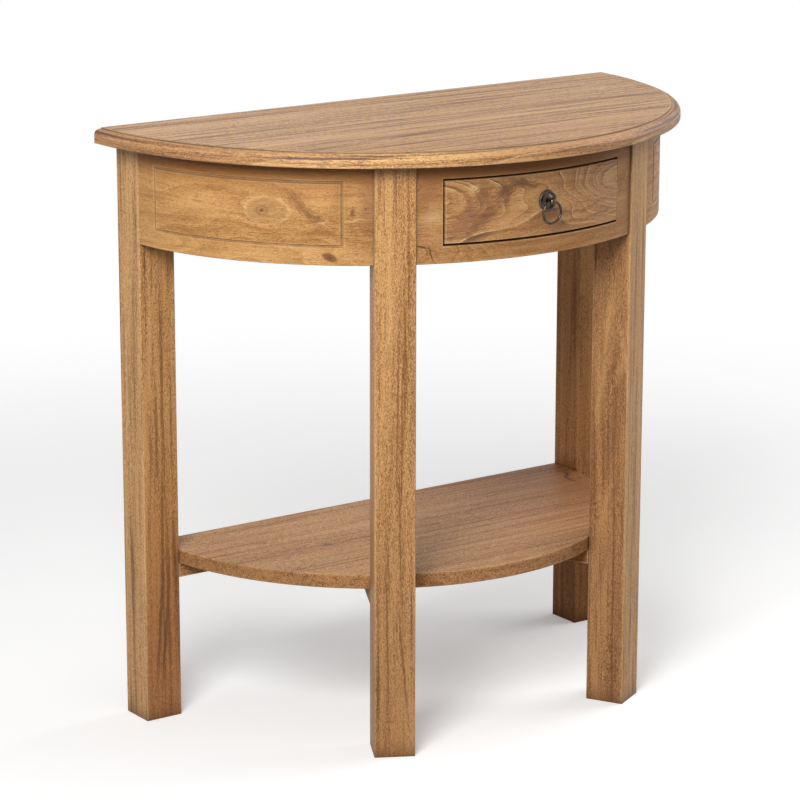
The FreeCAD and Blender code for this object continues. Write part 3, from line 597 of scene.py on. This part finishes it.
frontRightFigure = dict(
    washes=(
        # painted light and sheen on the leg's right face
        dict(at=(0.37, frontRight + 0.027), reach=(1.5, 0.004), waver=0.0, wash=0.95,
             pale="biscuit", deep="amber"),
    ),
    stains=(
        dict(at=(0.50, frontRight - 0.003), reach=(0.040, 0.0060), turn=-10.0, stain="honey", share=0.45),
        dict(at=(0.42, frontRight - 0.010), reach=(0.050, 0.0055), turn=-6.0, stain="honey", share=0.45),
        dict(at=(0.45, frontRight + 0.017), reach=(0.030, 0.0050), turn=-12.0, stain="honey", share=0.40),
        dict(at=(0.26, frontRight - 0.001), reach=(0.035, 0.0050), turn=-14.0, stain="honey", share=0.40),
        dict(at=(0.44, frontRight + 0.005), reach=(0.020, 0.0040), turn=-12.0, stain="walnut", share=0.50),
        dict(at=(0.41, frontRight + 0.010), reach=(0.020, 0.0035), turn=-15.0, stain="walnut", share=0.50),
        dict(at=(0.35, frontRight + 0.006), reach=(0.035, 0.0035), turn=-8.0, stain="walnut", share=0.50),
        dict(at=(0.28, frontRight + 0.008), reach=(0.030, 0.0035), turn=-14.0, stain="walnut", share=0.50),
        dict(at=(0.18, frontRight - 0.004), reach=(0.040, 0.0040), turn=-10.0, stain="walnut", share=0.40),
    ),
)
rearRightFigure = dict(
    washes=(dict(at=(0.10, -rearLeft), reach=(0.22, 0.08), wash=0.8, pale="auburn", deep="cocoa"),),
)
# The legs get wider painted shade at their tops, under the top
legShared = dict(
    deep="russet", along=(0, 0, 1), rings=60.0, pithAcross=0.3, pithBelow=0.2, tilt=0.03, swirl=0.5,
    ringStrength=0.12, lines=0.15, bands=0.40, streaks=0.62, specks=1.3, pores=0.45,
    edge=1.0, paintedShade=0.8, sheen=0.5)
legLooks = {
    "rear_left_leg": dict(across=(1, 0, 0), start=(0.2, 0.4, 0.1), **rearLeftFigure),
    "rear_right_leg": dict(across=(1, 0, 0), start=(1.7, 0.1, 0.3), pale="toffee", streaks=0.35, sheen=0.15,
                           **rearRightFigure),
    "front_left_leg": dict(across=leftAcross, start=(3.1, 0.3, 0.2), **frontLeftFigure),
    "front_right_leg": dict(across=rightFacing, start=(4.6, 0.2, 0.5), pale="amber", deep="cocoa", bands=0.6,
                            **frontRightFigure),
}
for name, look in legLooks.items():
    dress(woodMaterial(name + "Wood", **{**legShared, **look}), name)

# The left apron meets the front left leg at the leg's outer left corner
legFacing = Vector((-math.sin(legTurn), -math.cos(legTurn), 0.0))
jointSpot = sum(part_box("front_left_leg"), Vector()) / 2 + legHalf * (legFacing - Vector(leftAcross))
leftJoint = math.atan2(jointSpot.x, apronMiddle - jointSpot.y) * apronRadius

# The aprons and the drawer front: at is along the curve from the front's middle and up
leftFigure = dict(
    knots=(
        dict(at=(-0.349, 0.675), reach=(0.027, 0.0165), rings=3.0, heart=0.0, lift=0.030,
             stain="olive", share=0.38, ringed=0.10, rim=0.25, rimTone="straw", core=0.0),
        dict(at=(-0.355, 0.675), reach=(0.011, 0.0075), heart=0.42, share=0.3, rim=0.1),
        dict(at=(-0.2735, 0.6218), reach=(0.0100, 0.0050), turn=22.0, waver=0.001, rings=1.0, heart=0.3,
             share=0.85, stain="cocoa", rim=0.3),
        dict(at=(-0.2466, 0.676), reach=(0.0035, 0.0070), waver=0.006, rings=1.0, heart=0.9,
             share=0.5, core=0.6),
        dict(at=(-0.2312, 0.680), reach=(0.002, 0.002), rings=1.0, heart=0.8, share=0.5, core=0.7),
    ),
    stains=(
        plume(at=(-0.309, 0.684), reach=(0.028, 0.0085), turn=43.0, waver=0.006, stain="walnut", share=0.65),
        plume(at=(-0.290, 0.668), reach=(0.014, 0.0050), turn=20.0, stain="walnut", share=0.6),
        plume(at=(-0.286, 0.651), reach=(0.026, 0.006), turn=-6.0, stain="brown", share=0.6),
        dict(at=(-0.282, 0.6640), reach=(0.008, 0.0011), turn=-25.0, waver=0.010, stain="straw", share=0.45),
        dict(at=(-0.228, 0.685), reach=(0.011, 0.055), stain="plum", share=0.60),
        dict(at=(-0.36, 0.724), reach=(0.34, 0.021), waver=0.004, stain="brown", share=0.85),  # painted shade under the top's overhang
        dict(at=(-0.262, 0.692), reach=(0.010, 0.016), turn=20.0, stain="brown", share=0.50),
        dict(at=(-0.243, 0.6660), reach=(0.014, 0.0012), turn=-14.0, waver=0.010, stain="straw", share=0.40),
        plume(at=(-0.450, 0.640), reach=(0.055, 0.010), turn=4.0, stain="brown", share=0.4),
        dict(at=(leftJoint, 0.670), reach=(0.0016, 0.40), waver=0.0, stain="bark", share=0.85),
        plume(at=(-0.400, 0.650), reach=(0.040, 0.004), turn=-8.0, stain="brown", share=0.4),
    ),
)
drawerFigure = dict(
    knots=(
        swell(at=(-0.150, 0.688), reach=(0.105, 0.046), lift=0.17),
        swell(at=(0.135, 0.692), reach=(0.085, 0.046), lift=0.15),
    ),
    stains=(
        dict(at=(-0.098, 0.6995), reach=(0.006, 0.0030), waver=0.004, stain="straw", share=0.85),
        dict(at=(-0.098, 0.6995), reach=(0.0016, 0.0012), waver=0.0, stain="brown", share=0.9),
        plume(at=(-0.086, 0.692), reach=(0.016, 0.012), turn=-40.0, stain="walnut", share=0.75),
        plume(at=(-0.056, 0.692), reach=(0.017, 0.012), turn=-35.0, stain="umber", share=0.80),
        plume(at=(-0.030, 0.7015), reach=(0.024, 0.008), turn=14.0, stain="umber", share=0.85),
        dict(at=(-0.102, 0.668), reach=(0.026, 0.012), turn=-35.0, waver=0.020, stain="plum", share=0.75),
        dict(at=(-0.120, 0.652), reach=(0.020, 0.008), turn=-8.0, waver=0.020, stain="plum", share=0.60),
        plume(at=(-0.087, 0.660), reach=(0.036, 0.009), turn=-38.0, stain="walnut", share=0.75),
        dict(at=(-0.047, 0.664), reach=(0.036, 0.010), turn=-36.0, stain="honey", share=0.45),
        plume(at=(0.010, 0.654), reach=(0.050, 0.004), turn=-12.0, stain="walnut", share=0.5),
        plume(at=(0.075, 0.660), reach=(0.050, 0.003), turn=-10.0, stain="walnut", share=0.5),
        plume(at=(0.100, 0.650), reach=(0.030, 0.003), turn=-6.0, stain="walnut", share=0.6),
    ),
)
frontFigure = dict(
    washes=(dict(at=(0.0, 0.632), reach=(0.26, 0.012), wash=0.6, pale="amber", deep="cocoa"),),
    stains=(
        dict(at=(0.168, 0.673), reach=(0.010, 0.050), stain="plum", share=0.7),
        dict(at=(0.0, 0.724), reach=(0.40, 0.016), waver=0.004, stain="brown", share=0.85),  # painted shade under the top's overhang
        dict(at=(-0.1635, 0.6330), reach=(0.010, 0.0008), turn=20.0, waver=0.006, stain="bark", share=0.95),
        dict(at=(-0.1520, 0.6235), reach=(0.010, 0.0008), turn=68.0, waver=0.006, stain="bark", share=0.95),
        dict(at=(-0.160, 0.696), reach=(0.013, 0.022), turn=20.0, stain="plum", share=0.65),
        dict(at=(-0.166, 0.650), reach=(0.008, 0.012), stain="plum", share=0.35),
        dict(at=(-0.150, 0.668), reach=(0.014, 0.010), turn=-30.0, stain="straw", share=0.30),
    ),
)
# The aprons get wider painted shade under the top's overhang
apronShared = dict(
    bent=True, rings=45.0, pithAcross=0.55, tilt=0.2, swirl=3.0, wander=0.03,
    ringStrength=0.25, lines=0.25, bands=0.4, streaks=0.22, specks=0.7, pores=0.3,
    dirtAndShade=0.45, dirtAndShadeReach=0.004, paintedShade=1.35, paintedShadeReach=0.032)
apronLooks = {
    "left_apron": dict(dirtAndShade=0.1, paintedShade=0.85, **leftFigure),
    "right_apron": dict(start=(2.2, 0.3, 0.1), pale="toffee", dirtAndShade=0.2, paintedShade=1.1),
    "front_apron": dict(start=(5.1, 0.1, 0.2), pale="toffee", paintedShade=0.95, sheen=0.25, **frontFigure),
    "drawer_front": dict(start=(7.4, 0.2, 0.3), pale="toffee", swirl=2.0, ringStrength=0.60, lines=0.8,
                         streaks=0.4, specks=1.0, pores=0.45, paintedShade=0.0, sheen=0.55, **drawerFigure),
}
for name, look in apronLooks.items():
    dress(woodMaterial(name + "Wood", **{**apronShared, **look}), name)

backLook = dict(across=(0, 0, 1), start=(0.4, 0.9, 0.2))
dress(woodMaterial("backApronWood", **backLook), "back_apron")

# The shelf: at is along its back and towards it; level is how level a face is where the edge's tones
# start and where they are full
shelfSide = dict(pale="amber", deep="cocoa", level=(0.8, 0.4))
shelfFigure = dict(
    # painted shade on the shelf's right, towards the back
    washes=(dict(at=(0.27, 0.12), reach=(0.20, 0.24), wash=1.0, pale="auburn", deep="cocoa"),),
    stains=(
        # more painted shade on the shelf's right, towards the back
        dict(at=(0.27, 0.12), reach=(0.12, 0.16), stain="walnut", share=0.38),
        dict(at=(0.298, 0.153), reach=(0.007, 0.0022), turn=96.0, waver=0.002, stain="bark", share=0.95),
        dict(at=(0.2914, 0.1431), reach=(0.0115, 0.0024), turn=137.0, waver=0.002, stain="bark", share=0.95),
        dict(at=(0.2835, 0.1299), reach=(0.0105, 0.0022), turn=103.0, waver=0.002, stain="bark", share=0.95),
        dict(at=(0.283, 0.1161), reach=(0.0060, 0.0018), turn=94.0, waver=0.004, stain="bark", share=0.8),
        dict(at=(-0.212, 0.114), reach=(0.012, 0.004), turn=20.0, waver=0.020, stain="umber", share=0.6),
        dict(at=(-0.156, 0.064), reach=(0.020, 0.002), turn=10.0, waver=0.020, stain="umber", share=0.7),
    ),
)
shelfLook = dict(
    pale="fawn", deep="russet", side=shelfSide, start=(1.2, 0.7, 0.4), **shelfFigure,
    rings=60.0, pithAcross=0.15, pithBelow=0.05, tilt=0.06, swirl=1.5,
    ringStrength=0.12, lines=0.10, bands=0.35, streaks=0.42, specks=1.9, pores=0.8,
    edge=1.0, sheen=0.4)
dress(woodMaterial("shelfWood", **shelfLook), "shelf", "rear_stretcher")

stretcherShared = dict(pale="auburn", deep="cocoa", across=(0, 0, 1), sheen=0.1)
stretcherLooks = {
    "left": dict(along=(math.sin(legTurn), math.cos(legTurn), 0.0), start=(0.8, 0.1, 0.7)),
    "right": dict(along=(-math.sin(legTurn), math.cos(legTurn), 0.0), start=(2.8, 0.3, 0.1)),
}
for side, look in stretcherLooks.items():
    dress(woodMaterial(side + "StretcherWood", **stretcherShared, **look), side + "_stretcher")

# Inside: bare planed wood, less rubbed and with less painted highlight on its edges, with the grain from
# front to back or from side to side
innerLook = dict(along=(0, 1, 0), across=(0, 0, 1), edge=0.3, rough=(0.55, 0.72))
crossLook = {**innerLook, "along": (1, 0, 0)}
dress(woodMaterial("innerWood", **innerLook), "drawer_left_side", "drawer_right_side",
      "left_runner", "right_runner", "left_guide", "right_guide", "left_kicker", "right_kicker",
      "drawer_stops", "top_buttons")
dress(woodMaterial("innerCrossWood", **crossLook), "drawer_back", "drawer_bottom")

# The pale rub on the pull's edges is partly painted highlight
pullLook = dict(
    dark=(0.035, 0.025, 0.018, 1.0), pale=(0.100, 0.072, 0.052, 1.0), bright=(0.42, 0.31, 0.235, 1.0),
    cloud=dict(stretch=(220.0, 220.0, 220.0), detail=4.0), rubbed=0.6, rubAndHighlightReach=0.0012,
    metallic=0.85, rough=(0.20, 0.34), bump=0.25, bumpDepth=0.0003)


def pullMaterial():
    # Dark antique bronze, rubbed bright on the high spots, the pale edges partly painted highlight
    material, tree, surface = newMaterial("pullBronze")
    spot = addNode(tree, "ShaderNodeTexCoord").outputs["Object"]
    cloud = evenNoise(tree, spot, **pullLook["cloud"])
    wornAndLit = placeGroup(tree, "rubbedEdgeAndHighlight", Vector=spot, Reach=pullLook["rubAndHighlightReach"]).outputs["Mask"]
    colour = mixColour(tree, cloud, pullLook["dark"], pullLook["pale"])
    colour = mixColour(tree, calc(tree, "MULTIPLY", wornAndLit, pullLook["rubbed"]), colour, pullLook["bright"])
    tree.links.new(colour, surface.inputs["Base Color"])
    surface.inputs["Metallic"].default_value = pullLook["metallic"]
    tree.links.new(spread(tree, cloud, 0.0, 1.0, *pullLook["rough"]), surface.inputs["Roughness"])
    addBump(tree, surface, cloud, pullLook["bump"], pullLook["bumpDepth"])
    return material


steelLook = dict(
    dark=(0.42, 0.41, 0.39, 1.0), pale=(0.62, 0.60, 0.56, 1.0),
    cloud=dict(stretch=(400.0, 400.0, 400.0), detail=3.0), metallic=1.0, rough=(0.25, 0.45))


def steelMaterial():
    # Zinc-coated steel, cloudy
    material, tree, surface = newMaterial("screwSteel")
    spot = addNode(tree, "ShaderNodeTexCoord").outputs["Object"]
    cloud = evenNoise(tree, spot, **steelLook["cloud"])
    colour = mixColour(tree, cloud, steelLook["dark"], steelLook["pale"])
    tree.links.new(colour, surface.inputs["Base Color"])
    surface.inputs["Metallic"].default_value = steelLook["metallic"]
    tree.links.new(spread(tree, cloud, 0.0, 1.0, *steelLook["rough"]), surface.inputs["Roughness"])
    return material


dress(pullMaterial(), "pull_backplate", "pull_post", "pull_ring")
dress(steelMaterial(), "button_screws", "kicker_screws", "guide_screws", "shelf_screws",
      "drawer_bottom_screws", "pull_washer", "pull_nut")
print("materials placed:", len(bpy.data.materials))

# Pale floor that fades to white; it lights the object less than it shows
floorLook = dict(half=14.0, colour=(0.93, 0.93, 0.93, 1.0), returned=(0.30, 0.29, 0.28, 1.0), rough=0.9,
                 lift=0.24, shadowReach=0.9, whiteReach=2.2)


def shownDirectly(tree):
    # Rays that show the backdrop itself: seen straight, mirrored or through glass
    path = addNode(tree, "ShaderNodeLightPath")
    seen = calc(tree, "MAXIMUM", path.outputs["Is Camera Ray"], path.outputs["Is Glossy Ray"])
    return calc(tree, "MAXIMUM", seen, path.outputs["Is Transmission Ray"])


def floorMaterial():
    material, tree, surface = newMaterial("floorPaper")
    seen = shownDirectly(tree)
    colour = mixColour(tree, seen, floorLook["returned"], floorLook["colour"])
    tree.links.new(colour, surface.inputs["Base Color"])
    surface.inputs["Roughness"].default_value = floorLook["rough"]
    surface.inputs["Emission Color"].default_value = white
    tree.links.new(calc(tree, "MULTIPLY", seen, floorLook["lift"]), surface.inputs["Emission Strength"])
    spot = addNode(tree, "ShaderNodeTexCoord").outputs["Object"]
    away = vectorCalc(tree, "LENGTH", spot)
    far = spread(tree, away, floorLook["shadowReach"], floorLook["whiteReach"], smooth=True)
    glow = addNode(tree, "ShaderNodeEmission").outputs[0]
    both = mixShader(tree, calc(tree, "MULTIPLY", far, seen), surface.outputs[0], glow)
    # From below the floor is clear, so that the underside can be seen
    below = addNode(tree, "ShaderNodeNewGeometry").outputs["Backfacing"]
    shown = mixShader(tree, below, both, addNode(tree, "ShaderNodeBsdfTransparent").outputs[0])
    tree.links.new(shown, tree.nodes["Material Output"].inputs["Surface"])
    return material


def makeFloor():
    half = floorLook["half"]
    mesh = bpy.data.meshes.new("floor")
    corners = [(-half, -half, 0), (half, -half, 0), (half, half, 0), (-half, half, 0)]
    mesh.from_pydata(corners, [], [(0, 1, 2, 3)])
    floor = bpy.data.objects.new("floor", mesh)
    bpy.context.scene.collection.objects.link(floor)
    mesh.materials.append(floorMaterial())


# Soft light: az from straight ahead, left is minus, el above level, level as shown on a white card
lightLook = dict(world=0.24, middle=(0.0, 0.0, 0.45),
                 key=dict(az=-52.0, el=33.0, far=2.8, size=1.3, level=0.86),
                 fill=dict(az=85.0, el=30.0, far=3.0, size=2.4, level=0.46))


def makeWorld():
    world = bpy.data.worlds.new("studio")
    world.use_nodes = True
    tree = world.node_tree
    strength = spread(tree, shownDirectly(tree), 0.0, 1.0, lightLook["world"], 1.0)
    back = tree.nodes["Background"]
    back.inputs["Color"].default_value = white
    tree.links.new(strength, back.inputs["Strength"])
    bpy.context.scene.world = world


def softbox(name):
    look = lightLook[name]
    az = math.radians(look["az"])
    el = math.radians(look["el"])
    way = Vector((math.sin(az) * math.cos(el), -math.cos(az) * math.cos(el), math.sin(el)))
    lamp = bpy.data.lights.new(name, "AREA")
    lamp.shape = "DISK"
    lamp.size = look["size"]
    lamp.energy = look["level"] * (math.pi * look["far"]) ** 2
    holder = bpy.data.objects.new(name, lamp)
    holder.location = Vector(lightLook["middle"]) + look["far"] * way
    holder.rotation_euler = way.to_track_quat("Z", "Y").to_euler()
    bpy.context.scene.collection.objects.link(holder)


# The photograph's view: metres, degrees and millimetres
cameraLook = dict(place=(-2.3228, -3.1607, 1.4074), yaw=-35.2822, pitch=-14.4691, roll=0.0888, lens=145.506,
                  sensor=36.0, clipEnd=60.0)


def makeCamera():
    data = bpy.data.cameras.new("viewer")
    data.sensor_width = cameraLook["sensor"]
    data.lens = cameraLook["lens"]
    data.clip_end = cameraLook["clipEnd"]
    camera = bpy.data.objects.new("viewer", data)
    pitch = math.radians(90.0 + cameraLook["pitch"])
    turn = Euler((pitch, 0.0, math.radians(cameraLook["yaw"])), "XYZ").to_matrix()
    turn = turn @ Matrix.Rotation(math.radians(cameraLook["roll"]), 3, "Z")
    camera.matrix_world = Matrix.Translation(cameraLook["place"]) @ turn.to_4x4()
    bpy.context.scene.collection.objects.link(camera)
    bpy.context.scene.camera = camera


makeFloor()
makeWorld()
softbox("key")
softbox("fill")
makeCamera()
bpy.context.scene.view_settings.view_transform = "Standard"
print("stage, lights and camera ready")
